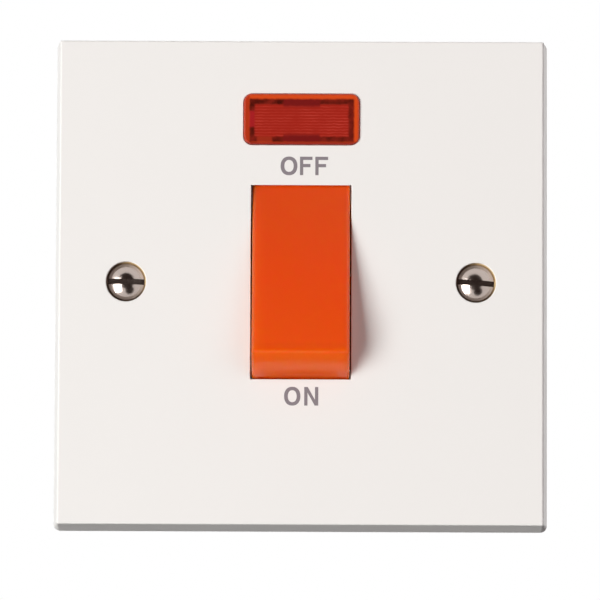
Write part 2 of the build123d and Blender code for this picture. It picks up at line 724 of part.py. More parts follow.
def lamp_lead(side, end_y):
    """From the lamp's end, down past the lens and back as far as end_y."""
    start = (side * LAMP_LENGTH / 2, lamp_y, LENS_CENTRE_Z)
    out = (side * lead_x, lamp_y, LENS_CENTRE_Z)
    below = (side * lead_x, lamp_y, lead_z)
    end = (side * lead_x, end_y, lead_z)
    return lead([start, out, below, end], bends=True)


def resistor_lead():
    start = (-lead_x, resistor_end_y(), lead_z)
    end = (-lead_x, terminal_y, lead_z)
    return lead([start, end], bends=False)


def build_pieces():
    pieces = {
        "front_plate": front_plate(),
        "rocker": rocker(),
        "neon_lens": neon_lens(),
        "fixing_screws": fixing_screws(),
        "base_moulding": base_moulding(),
        "base_screws": Compound([base_screw(side) for side in SIDES.values()]),
        "terminal_screws": clamp_screws(),
        "neon_lamp": neon_lamp(),
        "neon_resistor": neon_resistor(),
        "neon_lead_link": lamp_lead(LEFT, base_front_y + RESISTOR_START),
        "neon_lead_left": resistor_lead(),
        "neon_lead_right": lamp_lead(RIGHT, terminal_y),
    }
    for name, side in SIDES.items():
        pieces[f"plunger_{name}"] = plunger(side)
        pieces[f"plunger_spring_{name}"] = plunger_spring(side)
        pieces[f"contact_bar_{name}"] = contact_bar(side)
        pieces[f"moving_contact_{name}"] = moving_contact(side)
        pieces[f"feed_strip_{name}"] = feed_strip(side)
        pieces[f"load_strip_{name}"] = load_strip(side)
        pieces[f"fixed_contact_{name}"] = fixed_contact(side)
        pieces[f"load_terminal_{name}"] = terminal(side, UP)
        pieces[f"supply_terminal_{name}"] = terminal(side, DOWN)
    return pieces


os.makedirs("parts", exist_ok=True)
for name, piece in build_pieces().items():
    export_step(piece, f"parts/{name}.step")
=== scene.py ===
import json
import math

import bmesh
import bpy
from mathutils import Matrix, Quaternion, Vector


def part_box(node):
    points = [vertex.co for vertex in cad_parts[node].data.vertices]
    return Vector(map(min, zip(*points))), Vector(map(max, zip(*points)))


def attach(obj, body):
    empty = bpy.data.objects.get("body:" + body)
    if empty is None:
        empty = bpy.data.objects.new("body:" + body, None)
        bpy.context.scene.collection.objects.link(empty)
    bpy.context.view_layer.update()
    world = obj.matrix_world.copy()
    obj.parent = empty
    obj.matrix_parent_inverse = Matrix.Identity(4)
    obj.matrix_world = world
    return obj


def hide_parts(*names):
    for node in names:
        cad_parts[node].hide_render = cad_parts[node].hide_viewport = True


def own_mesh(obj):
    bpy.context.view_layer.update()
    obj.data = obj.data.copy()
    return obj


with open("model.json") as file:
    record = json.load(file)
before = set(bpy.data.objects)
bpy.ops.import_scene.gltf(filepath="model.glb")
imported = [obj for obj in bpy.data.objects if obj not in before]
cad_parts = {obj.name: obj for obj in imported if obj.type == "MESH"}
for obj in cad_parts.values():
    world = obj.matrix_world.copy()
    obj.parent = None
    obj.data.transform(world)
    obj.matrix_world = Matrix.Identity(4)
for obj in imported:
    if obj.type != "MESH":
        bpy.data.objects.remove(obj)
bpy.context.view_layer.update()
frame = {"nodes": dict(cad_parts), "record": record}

# Sizes are in metres, and MM turns millimetres into them. The face looks along -Y, and Z is up.
MM = 0.001

# The photograph: a square picture, and where the middle of the plate's face falls in it, in pixels
PHOTO_SIDE = 600
PHOTO_PX_PER_MM = 5.808
PHOTO_CENTRE_PX = (300.9, 281.95)

# Camera: its distance from the face, its angles in degrees, the nearest that it sees, and its sensor
CAMERA_DISTANCE = 0.8
CAMERA_AZIMUTH = 0.3
CAMERA_ELEVATION = -4.5
CAMERA_ROLL = 0.25
CAMERA_NEAR = 0.05
SENSOR_MM = 36.0

# Lamps: direction, distance, width, height, and level on a surface that looks straight at the lamp
KEY_LAMP = ((-0.677, -0.709, -0.1985), 2.2, 1.25, 2.0, 1.33)
GLINT_LAMP = ((-0.555, -0.825, -0.13), 1.2, 0.5, 1.0, 1.1)
FILL_LAMP = ((0.62, -0.75, 0.2), 1.3, 1.0, 1.0, 0.24)
FILL_COLOUR = (1.0, 0.85, 0.87)
TOP_RIM_LAMP = ((0, 0.3, 0.95), 1.2, 0.6, 0.6, 0.3)
BACK_LAMP = ((0.35, 0.85, 0.4), 1.4, 0.9, 0.9, 0.75)

# Even light on surfaces, from straight below and from straight above
AMBIENT_LOW = 0.05
AMBIENT_HIGH = 0.15

# Dark cards, which show only in reflections: each one's place, width, height and colour
CAMERA_CARD = ((-0.1, -1.55, 0.25), 1.7, 1.7, (60, 45, 40))
STAND_CARD = ((0.3, -1.5, -0.8), 0.9, 1.0, (60, 45, 40))
CLOTH_CARD = ((0, 1.33, -0.25), 2.9, 2.9, (98, 92, 96))
CARD_SEGMENTS = 64
UPRIGHT = (math.pi / 2, 0, 0)
LEVEL = (0, 0, 0)

# Floor, and how far below level, as a sine, the white behind it takes on the floor's colour
FLOOR_Z = -1.8
FLOOR_SIDE = 60.0
HORIZON_DROP = 0.14

# Lettering, printed on the face in plain capitals
INK_THICKNESS = 0.02 * MM
CAP_HEIGHT = 3.2 * MM
STROKE = 0.56 * MM
ROUND_STROKE = 0.64 * MM
ROUND_OVERSHOOT = 0.02 * MM
ROUND_STEPS = 48

# Proportions: O's fullness and thinning, F's bar, and N's slant in strokes and its notch in slants
ROUND_FULLNESS = 0.9
ROUND_THINNING = 0.92
F_BAR_HEIGHT = 0.52
F_BAR_LENGTH = 0.84
N_SLANT = 1.08
N_NOTCH = 1.6

# Words: the height of each one's middle, and each letter's shape, left edge and width
OFF_Z = 20.1 * MM
OFF_LETTERS = (
    ("O", -3.6 * MM, 2.89 * MM),
    ("F", -0.26 * MM, 2.15 * MM),
    ("F", 2.39 * MM, 2.2 * MM),
)
ON_Z = -19.7 * MM
ON_LETTERS = (
    ("O", -2.82 * MM, 2.8 * MM),
    ("N", 0.64 * MM, 2.41 * MM),
)

# Screws: slots are (width, depth), and their turns are in degrees
SCREW_SEGMENTS = 40
SHARP_ANGLE = math.radians(28)
DOME_STEPS = 8
TIP_LENGTH = 0.5 * MM
MERGE_DISTANCE = 0.002 * MM
FIXING_HEAD_R = 3.15 * MM
FIXING_DOME_HEIGHT = 0.95 * MM
FIXING_HEAD_EDGE = 0.35 * MM
FIXING_SHANK_R = 1.5 * MM
FIXING_SHANK_END = 8.72 * MM
FIXING_THREAD_R = 1.75 * MM
FIXING_PITCH = 0.6 * MM
FIXING_SLOT = (0.95 * MM, 1.2 * MM)
FIXING_SLOT_TURNS = (1.0, 4.0)
CLAMP_HEAD_R = 2.6 * MM
CLAMP_HEAD_HEIGHT = 2.2 * MM
CLAMP_HEAD_EDGE = 0.25 * MM
CLAMP_THREAD_R = 2.0 * MM
CLAMP_PITCH = 0.7 * MM
CLAMP_SPACING = 5.6 * MM
CLAMP_SLOT = (1.0 * MM, 1.2 * MM)
CLAMP_SLOT_TURNS = (0, 24, 71, -38, 12, 55, -20, 84)
BASE_HEAD_R = 2.7 * MM
BASE_HEAD_HEIGHT = 1.9 * MM
BASE_THREAD_R = 1.45 * MM
BASE_PITCH = 0.5 * MM
BASE_SLOT = (0.8 * MM, 1.0 * MM)
BASE_SLOT_TURNS = (30, -52)

# One turn of a thread: shares of the pitch along the axis, and of the full depth there
THREAD_PROFILE = ((0, 1), (0.25, 1), (0.5625, 0), (0.6875, 0))
THREAD_DEPTH_PER_PITCH = 0.5

# Screw wells: between these depths the wall is painted in shade, but for the side that the key light
# reaches, which is painted lighter
WELL_R = 3.5 * MM
WELL_SHADE_START = 0.8 * MM
WELL_SHADE_END = 3.0 * MM
WELL_SHADE_BLUR = 0.2 * MM
WELL_LIT_ANGLE = math.radians(35)
WELL_LIT_EDGE = 1.6 * MM
WELL_LIT_BLUR = 3.0 * MM

# Rocker: its sides, painted darker on the left and brighter on the right, the painted glow low on its
# face, the dull stretch along its nose, and how round edges look
ROCKER_SIDE_EDGE = 8.0 * MM
ROCKER_SIDE_BLUR = 0.8 * MM
ROCKER_GLOW_MIDDLE = 1.2 * MM
ROCKER_GLOW_HALF = 8.9 * MM
ROCKER_GLOW_BLUR = 4.4 * MM
ROCKER_GLOW_TOP = 9.0 * MM
ROCKER_GLOW_FADE = 16.0 * MM
ROCKER_DULL_TOP = -15.3 * MM
ROCKER_DULL_HALF = 6.3 * MM
ROCKER_DULL_BLUR = 0.6 * MM
ROCKER_SOFTNESS = 1.0 * MM
BEVEL_SAMPLES = 8

# Lens zones, in which light and shade are painted: the flange behind the plate, then the rim, the frame
# with its clips, and the ribs
LENS_FLANGE = 1.2 * MM
LENS_EDGE = 0.2 * MM
LENS_RIM_SIDE = 0.95 * MM
LENS_RIM_TOP = 0.93 * MM
LENS_RIM_LOW = 0.42 * MM
LENS_FRAME = 0.95 * MM
LENS_CLIP_HALF_X = 3.15 * MM
LENS_CLIP_HALF_Z = 1.4 * MM
LENS_CLIP_DEPTH = 1.3 * MM
LENS_PALE_MIDDLE = -6.4 * MM
LENS_PALE_HALF = 1.3 * MM
LENS_RIB_PITCH = 0.5 * MM
LENS_WOBBLE = 0.3 * MM
LENS_BLUR = 0.45 * MM

face_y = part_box("front_plate")[0].y
fixing_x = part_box("fixing_screws")[1].x - FIXING_HEAD_R


# Colours
def to_linear(value):
    """The standard sRGB curve, from a screen value to a linear one, both 0 to 1."""
    if value <= 0.04045:
        return value / 12.92
    return ((value + 0.055) / 1.055) ** 2.4


def srgb(red, green, blue):
    """A screen colour, 0 to 255 a channel, as the linear colour that a shader takes."""
    return tuple(to_linear(channel / 255) for channel in (red, green, blue)) + (1.0,)


WHITE = srgb(255, 255, 255)
FLOOR_COLOUR = srgb(246, 246, 246)
INK_COLOUR = srgb(133, 125, 129)
GLASS_COLOUR = srgb(245, 235, 230)
PLATE_COLOUR = srgb(238, 236, 232)
# Painted shade on the walls of the screw wells, and painted light on the side that the key light reaches
WELL_SHADE_COLOUR = srgb(88, 66, 50)
WELL_LIT_COLOUR = srgb(206, 178, 132)
# Painted light on the rocker: a glow low on its sides, the left side painted darker and more orange under
# the key light, and the right side painted brighter
ROCKER_PAINTED_GLOW_COLOUR = srgb(225, 95, 10)
ROCKER_LEFT_PAINTED_SHADE_COLOUR = srgb(192, 84, 10)
ROCKER_RIGHT_PAINTED_LIGHT_COLOUR = srgb(255, 98, 12)
# The lens's colours are painted light and shade: a shaded outer edge, a glowing rim shaded on the left
# and along the bottom, a shaded frame mottled with light, clips and a lower-left stretch painted lighter,
# and ribs with lit ridges
LENS_EDGE_PAINTED_SHADE_COLOUR = srgb(205, 60, 34)
LENS_RIM_PAINTED_GLOW_COLOUR = srgb(242, 86, 32)
LENS_RIM_LEFT_PAINTED_SHADE_COLOUR = srgb(205, 62, 28)
LENS_RIM_LOW_PAINTED_SHADE_COLOUR = srgb(172, 46, 28)
LENS_FRAME_PAINTED_SHADE_COLOUR = srgb(84, 20, 10)
LENS_FRAME_LIT_COLOUR = srgb(150, 40, 28)
LENS_CLIP_PAINTED_LIGHT_COLOUR = srgb(136, 30, 28)
LENS_LEFT_CLIP_PAINTED_LIGHT_COLOUR = srgb(185, 38, 42)
LENS_PALE_PAINTED_LIGHT_COLOUR = srgb(176, 54, 32)
LENS_RIB_COLOUR = srgb(182, 44, 30)
LENS_RIB_LIT_COLOUR = srgb(212, 70, 56)

# The rocker's orange up its face, keyed by height in millimetres: painted light on the nose, and painted
# shade at its lower end, along the crease and towards the top
ROCKER_ORANGE_AND_PAINTED_SHADING = {
    -17.0: srgb(202, 64, 9),
    -15.0: srgb(236, 95, 12),
    -12.8: srgb(244, 101, 14),
    -12.1: srgb(231, 88, 5),
    -11.3: srgb(231, 84, 9),
    -10.4: srgb(236, 84, 9),
    0.0: srgb(234, 78, 10),
    16.0: srgb(224, 78, 11),
}

# Finish: roughness runs between two values, and grain is a fine bump
PLATE_ROUGHNESS = (0.38, 0.44)
ROCKER_ROUGHNESS = (0.2, 0.25)
LENS_ROUGHNESS = (0.12, 0.18)
GLASS_ROUGHNESS = (0.05, 0.1)
INK_ROUGHNESS = (0.5, 0.6)
PAPER_ROUGHNESS = (0.8, 0.9)
PLASTIC_GRAIN = 0.04
ROCKER_GRAIN = 0.01
METAL_GRAIN = 0.05
GRAIN_HEIGHT = 0.02 * MM

# How many times to the metre the noise in each surface changes
PLASTIC_MOTTLE_SCALE = 90
PLASTIC_GRAIN_SCALE = 2500
METAL_MOTTLE_SCALE = 400
METAL_GRAIN_SCALE = 3000
CLEAR_MOTTLE_SCALE = 200
INK_MOTTLE_SCALE = 600
FLOOR_MOTTLE_SCALE = 3
CARD_MOTTLE_SCALE = 5
LENS_WAVER_SCALE = 1100
LENS_FRAME_SCALE = 650
LENS_LIGHT_SCALE = 350

# How finely noise is broken up, and the range that most of it lies in
PLAIN_DETAIL = 2.0
LENS_FRAME_DETAIL = 3.0
GRAIN_DETAIL = 4.0
NOISE_LOW = 0.3
NOISE_HIGH = 0.7

# Optical values of the plastics and glass, and how the lens's ribs catch the light
PLASTIC_IOR = 1.48
CLEAR_IOR = 1.5
ROCKER_SCATTER = 0.9
ROCKER_BLEED = (2.0, 1.5, 0.3)
ROCKER_GLOSS = 0.5
ROCKER_GLOSS_LOSS = 0.42
LENS_CLEARNESS = 0.3
LENS_GLOSS = 0.3
LENS_RIDGE_EDGE = 0.35
LENS_RIDGE_BLUR = 1.2
LENS_RIB_LIGHT = (0.1, 0.9)
GLASS_CLEARNESS = 0.6


# Node helpers
def new_material(name):
    material = bpy.data.materials.new(name)
    material.use_nodes = True
    shader = material.node_tree.nodes["Principled BSDF"]
    return material, material.node_tree, shader


def set_sockets(shader, **values):
    for name, value in values.items():
        shader.inputs[name.replace("_", " ")].default_value = value


def object_noise(tree, scale, detail=PLAIN_DETAIL):
    place = tree.nodes.new("ShaderNodeTexCoord")
    noise = tree.nodes.new("ShaderNodeTexNoise")
    noise.inputs["Scale"].default_value = scale
    noise.inputs["Detail"].default_value = detail
    tree.links.new(place.outputs["Object"], noise.inputs["Vector"])
    return noise


def between(tree, value, low, high, to_low, to_high):
    """A value, carried evenly from one range to another."""
    carry = tree.nodes.new("ShaderNodeMapRange")
    limits = {"From Min": low, "From Max": high, "To Min": to_low, "To Max": to_high}
    for name, limit in limits.items():
        carry.inputs[name].default_value = limit
    tree.links.new(value, carry.inputs["Value"])
    return carry.outputs["Result"]


def spread(tree, noise, low, high):
    """The noise, stretched to run between two values."""
    return between(tree, noise.outputs["Fac"], NOISE_LOW, NOISE_HIGH, low, high)


def uneven_roughness(tree, shader, scale, roughness):
    uneven = spread(tree, object_noise(tree, scale), *roughness)
    tree.links.new(uneven, shader.inputs["Roughness"])


def grain(tree, shader, scale, strength):
    """A fine moulded or drawn grain, as bump."""
    noise = object_noise(tree, scale, GRAIN_DETAIL)
    bump = tree.nodes.new("ShaderNodeBump")
    bump.inputs["Strength"].default_value = strength
    bump.inputs["Distance"].default_value = GRAIN_HEIGHT
    tree.links.new(noise.outputs["Fac"], bump.inputs["Height"])
    tree.links.new(bump.outputs["Normal"], shader.inputs["Normal"])
    return bump


def soften_edges(tree, bump, radius):
    """Edges that catch the light as if rounded a little more, under the grain."""
    bevel = tree.nodes.new("ShaderNodeBevel")
    bevel.samples = BEVEL_SAMPLES
    bevel.inputs["Radius"].default_value = radius
    tree.links.new(bevel.outputs["Normal"], bump.inputs["Normal"])


def math_node(tree, operation, first, second=0):
    """A sum worked out over the surface: each term is a socket or a fixed number."""
    node = tree.nodes.new("ShaderNodeMath")
    node.operation = operation
    for socket, term in zip(node.inputs, (first, second)):
        if isinstance(term, (int, float)):
            socket.default_value = term
        else:
            tree.links.new(term, socket)
    return node.outputs[0]


def step(tree, value, edge, blur):
    """0 below an edge and 1 above it, with a soft change between."""
    ramp = tree.nodes.new("ShaderNodeMapRange")
    ramp.interpolation_type = "SMOOTHSTEP"
    ramp.inputs["From Min"].default_value = edge - blur / 2
    ramp.inputs["From Max"].default_value = edge + blur / 2
    tree.links.new(value, ramp.inputs["Value"])
    return ramp.outputs["Result"]


def opposite(tree, factor):
    return math_node(tree, "SUBTRACT", 1, factor)


def below(tree, value, edge, blur):
    """1 below an edge and 0 above it, with a soft change between."""
    return opposite(tree, step(tree, value, edge, blur))


def within(tree, value, half, blur):
    """1 within this distance of 0, on either side."""
    return below(tree, math_node(tree, "ABSOLUTE", value), half, blur)


def both(tree, first, second):
    """1 only where both factors are."""
    return math_node(tree, "MULTIPLY", first, second)


def blend_colours(tree, factor, first, second):
    """The first colour where the factor is 0 and the second where it is 1: sockets or fixed colours."""
    mix = tree.nodes.new("ShaderNodeMix")
    mix.data_type = "RGBA"
    colour_sockets = [socket for socket in mix.inputs if socket.type == "RGBA"]
    tree.links.new(factor, mix.inputs["Factor"])
    for socket, colour in zip(colour_sockets, (first, second)):
        if isinstance(colour, tuple):
            socket.default_value = colour
        else:
            tree.links.new(colour, socket)
    return next(socket for socket in mix.outputs if socket.type == "RGBA")


def colours_along(tree, value, colours):
    """Colours at places along an axis, keyed by millimetres from the lowest up, blended between."""
    places = list(colours)
    lowest = places[0]
    highest = places[-1]
    along = between(tree, value, lowest * MM, highest * MM, 0, 1)
    ramp = tree.nodes.new("ShaderNodeValToRGB")
    stops = ramp.color_ramp.elements
    while len(stops) < len(places):
        stops.new(0.5)
    for stop, place in zip(stops, places):
        stop.position = (place - lowest) / (highest - lowest)
        stop.color = colours[place]
    tree.links.new(along, ramp.inputs[0])
    return ramp.outputs["Color"]


def object_axes(tree):
    """A point's own X, Y and Z in the part's frame."""
    place = tree.nodes.new("ShaderNodeTexCoord")
    split = tree.nodes.new("ShaderNodeSeparateXYZ")
    tree.links.new(place.outputs["Object"], split.inputs[0])
    return split.outputs["X"], split.outputs["Y"], split.outputs["Z"]


# Plain materials
def moulded_plastic(name, colour, roughness):
    material, tree, shader = new_material(name)
    set_sockets(shader, Base_Color=colour, IOR=PLASTIC_IOR)
    uneven_roughness(tree, shader, PLASTIC_MOTTLE_SCALE, roughness)
    grain(tree, shader, PLASTIC_GRAIN_SCALE, PLASTIC_GRAIN)
    return material


def metal(name, colour, roughness):
    material, tree, shader = new_material(name)
    set_sockets(shader, Base_Color=colour, Metallic=1.0)
    uneven_roughness(tree, shader, METAL_MOTTLE_SCALE, roughness)
    grain(tree, shader, METAL_GRAIN_SCALE, METAL_GRAIN)
    return material


def ink_material():
    material, tree, shader = new_material("print_ink")
    set_sockets(shader, Base_Color=INK_COLOUR)
    uneven_roughness(tree, shader, INK_MOTTLE_SCALE, INK_ROUGHNESS)
    return material


def glass_material():
    material, tree, shader = new_material("lamp_glass")
    set_sockets(shader, Base_Color=GLASS_COLOUR, IOR=CLEAR_IOR, Transmission_Weight=GLASS_CLEARNESS)
    uneven_roughness(tree, shader, CLEAR_MOTTLE_SCALE, GLASS_ROUGHNESS)
    return material


# Plate
def well_shade(tree, across, y, z):
    """1 on the walls of the screw wells, between two depths, where shade is painted."""
    across_squared = math_node(tree, "MULTIPLY", across, across)
    up_squared = math_node(tree, "MULTIPLY", z, z)
    from_middle = math_node(tree, "SQRT", math_node(tree, "ADD", across_squared, up_squared))
    beside = within(tree, from_middle, WELL_R, WELL_SHADE_BLUR)
    middle = face_y + (WELL_SHADE_START + WELL_SHADE_END) / 2
    half = (WELL_SHADE_END - WELL_SHADE_START) / 2
    sunk = within(tree, math_node(tree, "SUBTRACT", y, middle), half, WELL_SHADE_BLUR)
    return both(tree, beside, sunk)


def well_colour(tree, across, z):
    """Painted shade, paler with painted light towards the upper right, where the key light reaches the
    wall.
    """
    rightward = math_node(tree, "MULTIPLY", across, math.cos(WELL_LIT_ANGLE))
    upward = math_node(tree, "MULTIPLY", z, math.sin(WELL_LIT_ANGLE))
    lit = step(tree, math_node(tree, "ADD", rightward, upward), WELL_LIT_EDGE, WELL_LIT_BLUR)
    return blend_colours(tree, lit, WELL_SHADE_COLOUR, WELL_LIT_COLOUR)


def plate_material():
    """White moulded plastic, with shade painted on the walls round the sunk screw heads."""
    material = moulded_plastic("plate_plastic", PLATE_COLOUR, PLATE_ROUGHNESS)
    tree = material.node_tree
    x, y, z = object_axes(tree)
    nearer_well = math_node(tree, "MULTIPLY", math_node(tree, "SIGN", x), fixing_x)
    across = math_node(tree, "SUBTRACT", x, nearer_well)
    shade = well_shade(tree, across, y, z)
    colour = blend_colours(tree, shade, PLATE_COLOUR, well_colour(tree, across, z))
    tree.links.new(colour, tree.nodes["Principled BSDF"].inputs["Base Color"])
    return material


# Rocker
def rocker_colour(tree, x, z):
    """Painted light and shade up the face, a painted glow more orange at its lower sides, where light
    comes through, and sides painted darker on the left and brighter on the right.
    """
    beside = math_node(tree, "SUBTRACT", x, ROCKER_GLOW_MIDDLE)
    edge = opposite(tree, within(tree, beside, ROCKER_GLOW_HALF, ROCKER_GLOW_BLUR))
    glow = both(tree, edge, below(tree, z, ROCKER_GLOW_TOP, ROCKER_GLOW_FADE))
    colour = blend_colours(tree, glow, colours_along(tree, z, ROCKER_ORANGE_AND_PAINTED_SHADING), ROCKER_PAINTED_GLOW_COLOUR)
    on_left = below(tree, x, -ROCKER_SIDE_EDGE, ROCKER_SIDE_BLUR)
    on_right = step(tree, x, ROCKER_SIDE_EDGE, ROCKER_SIDE_BLUR)
    colour = blend_colours(tree, on_left, colour, ROCKER_LEFT_PAINTED_SHADE_COLOUR)
    return blend_colours(tree, on_right, colour, ROCKER_RIGHT_PAINTED_LIGHT_COLOUR)


def rocker_gloss(tree, x, z):
    """Even gloss, but for a dull stretch along the nose's lower edge."""
    low = below(tree, z, ROCKER_DULL_TOP, ROCKER_DULL_BLUR)
    dull = both(tree, low, within(tree, x, ROCKER_DULL_HALF, ROCKER_DULL_BLUR))
    loss = math_node(tree, "MULTIPLY", dull, ROCKER_GLOSS_LOSS)
    return math_node(tree, "SUBTRACT", ROCKER_GLOSS, loss)


def rocker_material():
    """Orange plastic that lets a little light through its edges and corners."""
    material, tree, shader = new_material("rocker_plastic")
    set_sockets(shader, IOR=PLASTIC_IOR, Subsurface_Weight=ROCKER_SCATTER)
    set_sockets(shader, Subsurface_Radius=ROCKER_BLEED, Subsurface_Scale=MM)
    uneven_roughness(tree, shader, PLASTIC_MOTTLE_SCALE, ROCKER_ROUGHNESS)
    bump = grain(tree, shader, PLASTIC_GRAIN_SCALE, ROCKER_GRAIN)
    soften_edges(tree, bump, ROCKER_SOFTNESS)
    x, _, z = object_axes(tree)
    tree.links.new(rocker_colour(tree, x, z), shader.inputs["Base Color"])
    tree.links.new(rocker_gloss(tree, x, z), shader.inputs["Specular IOR Level"])
    return material


# Lens
def lens_window():
    """The corners of the lens without its flange, as it shows in the plate."""
    low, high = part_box("neon_lens")
    inset = Vector((LENS_FLANGE, 0, LENS_FLANGE))
    return low + inset, high - inset


def lens_axes(tree):
    """X and Z from the middle of the lens's window, wavering a little as through moulded prisms."""
    low, high = lens_window()
    middle = (low + high) / 2
    x, _, z = object_axes(tree)
    waver = tree.nodes.new("ShaderNodeSeparateXYZ")
    tree.links.new(object_noise(tree, LENS_WAVER_SCALE).outputs["Color"], waver.inputs[0])
    axes = []
    for value, centre, shift in ((x, middle.x, "X"), (z, middle.z, "Y")):
        centred = math_node(tree, "SUBTRACT", value, centre + LENS_WOBBLE / 2)
        wobble = math_node(tree, "MULTIPLY", waver.outputs[shift], LENS_WOBBLE)
        axes.append(math_node(tree, "ADD", centred, wobble))
    return axes


def inside_box(tree, x, z, half_x, half_z):
    beside = within(tree, x, half_x, LENS_BLUR)
    return both(tree, beside, within(tree, z, half_z, LENS_BLUR))


def lens_rim_colour(tree, x, z, half_x, half_z):
    """Painted light where the solid edge gathers light, and painted shade on the left, along the bottom
    and round the outer edge.
    """
    on_left = below(tree, x, LENS_RIM_SIDE - half_x, LENS_BLUR)
    at_bottom = below(tree, z, LENS_RIM_LOW - half_z, LENS_BLUR)
    edge = opposite(tree, inside_box(tree, x, z, half_x - LENS_EDGE, half_z - LENS_EDGE))
    colour = blend_colours(tree, edge, LENS_RIM_PAINTED_GLOW_COLOUR, LENS_EDGE_PAINTED_SHADE_COLOUR)
    colour = blend_colours(tree, on_left, colour, LENS_RIM_LEFT_PAINTED_SHADE_COLOUR)
    return blend_colours(tree, at_bottom, colour, LENS_RIM_LOW_PAINTED_SHADE_COLOUR)


def lens_frame_colour(tree, x, z):
    """Painted shade in the corners, mottled with painted light, with clips painted lighter at the middles
    and most of all on the left, and a stretch of painted light at the lower left.
    """
    on_left = below(tree, x, 0, LENS_BLUR)
    at_bottom = below(tree, z, 0, LENS_BLUR)
    clip = within(tree, x, LENS_CLIP_HALF_X, LENS_BLUR)
    left_clip = both(tree, on_left, within(tree, z, LENS_CLIP_HALF_Z, LENS_BLUR))
    from_pale = math_node(tree, "SUBTRACT", x, LENS_PALE_MIDDLE)
    pale = both(tree, at_bottom, within(tree, from_pale, LENS_PALE_HALF, LENS_BLUR))
    uneven_light = spread(tree, object_noise(tree, LENS_FRAME_SCALE, LENS_FRAME_DETAIL), 0, 1)
    colour = blend_colours(tree, uneven_light, LENS_FRAME_PAINTED_SHADE_COLOUR, LENS_FRAME_LIT_COLOUR)
    colour = blend_colours(tree, clip, colour, LENS_CLIP_PAINTED_LIGHT_COLOUR)
    colour = blend_colours(tree, left_clip, colour, LENS_LEFT_CLIP_PAINTED_LIGHT_COLOUR)
    return blend_colours(tree, pale, colour, LENS_PALE_PAINTED_LIGHT_COLOUR)


def lens_rib_colour(tree, z):
    """Fine level ribs, with painted highlights along their ridges, unevenly lit."""
    phase = math_node(tree, "MULTIPLY", z, 2 * math.pi / LENS_RIB_PITCH)
    ridge = step(tree, math_node(tree, "SINE", phase), LENS_RIDGE_EDGE, LENS_RIDGE_BLUR)
    uneven = spread(tree, object_noise(tree, LENS_LIGHT_SCALE), *LENS_RIB_LIGHT)
    return blend_colours(tree, both(tree, ridge, uneven), LENS_RIB_COLOUR, LENS_RIB_LIT_COLOUR)


def lens_colour(tree):
    """Painted light on the solid rim, a frame in painted shade with clips at its middles, and ribs across
    the window.
    """
    low, high = lens_window()
    half_x = (high.x - low.x) / 2
    half_z = (high.z - low.z) / 2
    frame_half_x = half_x - LENS_RIM_SIDE
    frame_half_z = half_z - (LENS_RIM_LOW + LENS_RIM_TOP) / 2
    x, z = lens_axes(tree)
    frame_z = math_node(tree, "SUBTRACT", z, (LENS_RIM_LOW - LENS_RIM_TOP) / 2)
    framed = inside_box(tree, x, frame_z, frame_half_x, frame_half_z)
    ribbed = inside_box(tree, x, frame_z, frame_half_x - LENS_FRAME, frame_half_z - LENS_FRAME)
    past_clips = opposite(tree, within(tree, frame_z, frame_half_z - LENS_CLIP_DEPTH, 2 * LENS_BLUR))
    clipped = both(tree, past_clips, within(tree, x, LENS_CLIP_HALF_X, LENS_BLUR))
    ribbed = both(tree, ribbed, opposite(tree, clipped))
    inside = blend_colours(tree, ribbed, lens_frame_colour(tree, x, z), lens_rib_colour(tree, z))
    return blend_colours(tree, framed, lens_rim_colour(tree, x, z, half_x, half_z), inside)


def lens_material():
    """Clear red plastic with light and shade painted into its colour: a glowing solid rim, and dark
    painted shade round the ribs.
    """
    material, tree, shader = new_material("lens_plastic")
    set_sockets(shader, IOR=CLEAR_IOR, Transmission_Weight=LENS_CLEARNESS, Specular_IOR_Level=LENS_GLOSS)
    uneven_roughness(tree, shader, CLEAR_MOTTLE_SCALE, LENS_ROUGHNESS)
    tree.links.new(lens_colour(tree), shader.inputs["Base Color"])
    return material


# Materials, by the record's slots
MATERIALS = {
    "plate_plastic": plate_material(),
    "rocker_plastic": rocker_material(),
    "lens_plastic": lens_material(),
    "base_plastic": moulded_plastic("base_plastic", srgb(225, 222, 214), (0.45, 0.55)),
    "plunger_plastic": moulded_plastic("plunger_plastic", srgb(235, 232, 222), (0.4, 0.5)),
    "nickel_screw": metal("nickel_screw", srgb(190, 176, 168), (0.14, 0.2)),
    "zinc_screw": metal("zinc_screw", srgb(200, 198, 190), (0.22, 0.34)),
    "spring_steel": metal("spring_steel", srgb(190, 190, 192), (0.2, 0.3)),
    "brass": metal("brass", srgb(214, 178, 104), (0.24, 0.36)),
    "copper": metal("copper", srgb(214, 140, 104), (0.24, 0.36)),
    "silver": metal("silver", srgb(232, 230, 226), (0.18, 0.28)),
    "lamp_glass": glass_material(),
    "resistor_body": moulded_plastic("resistor_body", srgb(198, 172, 128), (0.35, 0.45)),
    "lead_sleeve": moulded_plastic("lead_sleeve", srgb(230, 226, 214), (0.4, 0.5)),
}
INK = ink_material()


# Mesh helpers
def mesh_object(name, form):
    mesh = bpy.data.meshes.new(name)
    form.to_mesh(mesh)
    form.free()
    piece = bpy.data.objects.new(name, mesh)
    bpy.context.scene.collection.objects.link(piece)
    return piece


def outfit(piece, body, slot):
    """Gives a piece the material of a slot, and sets it on a body."""
    piece.data.materials.clear()
    piece.data.materials.append(MATERIALS[slot])
    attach(piece, body)


# Lettering: outlines are (x, z) from a letter's lower left corner
def letter_f(width):
    middle = F_BAR_HEIGHT * CAP_HEIGHT
    bar = F_BAR_LENGTH * width
    return [
        (0, 0),
        (STROKE, 0),
        (STROKE, middle - STROKE / 2),
        (bar, middle - STROKE / 2),
        (bar, middle + STROKE / 2),
        (STROKE, middle + STROKE / 2),
        (STROKE, CAP_HEIGHT - STROKE),
        (width, CAP_HEIGHT - STROKE),
        (width, CAP_HEIGHT),
        (0, CAP_HEIGHT),
    ]


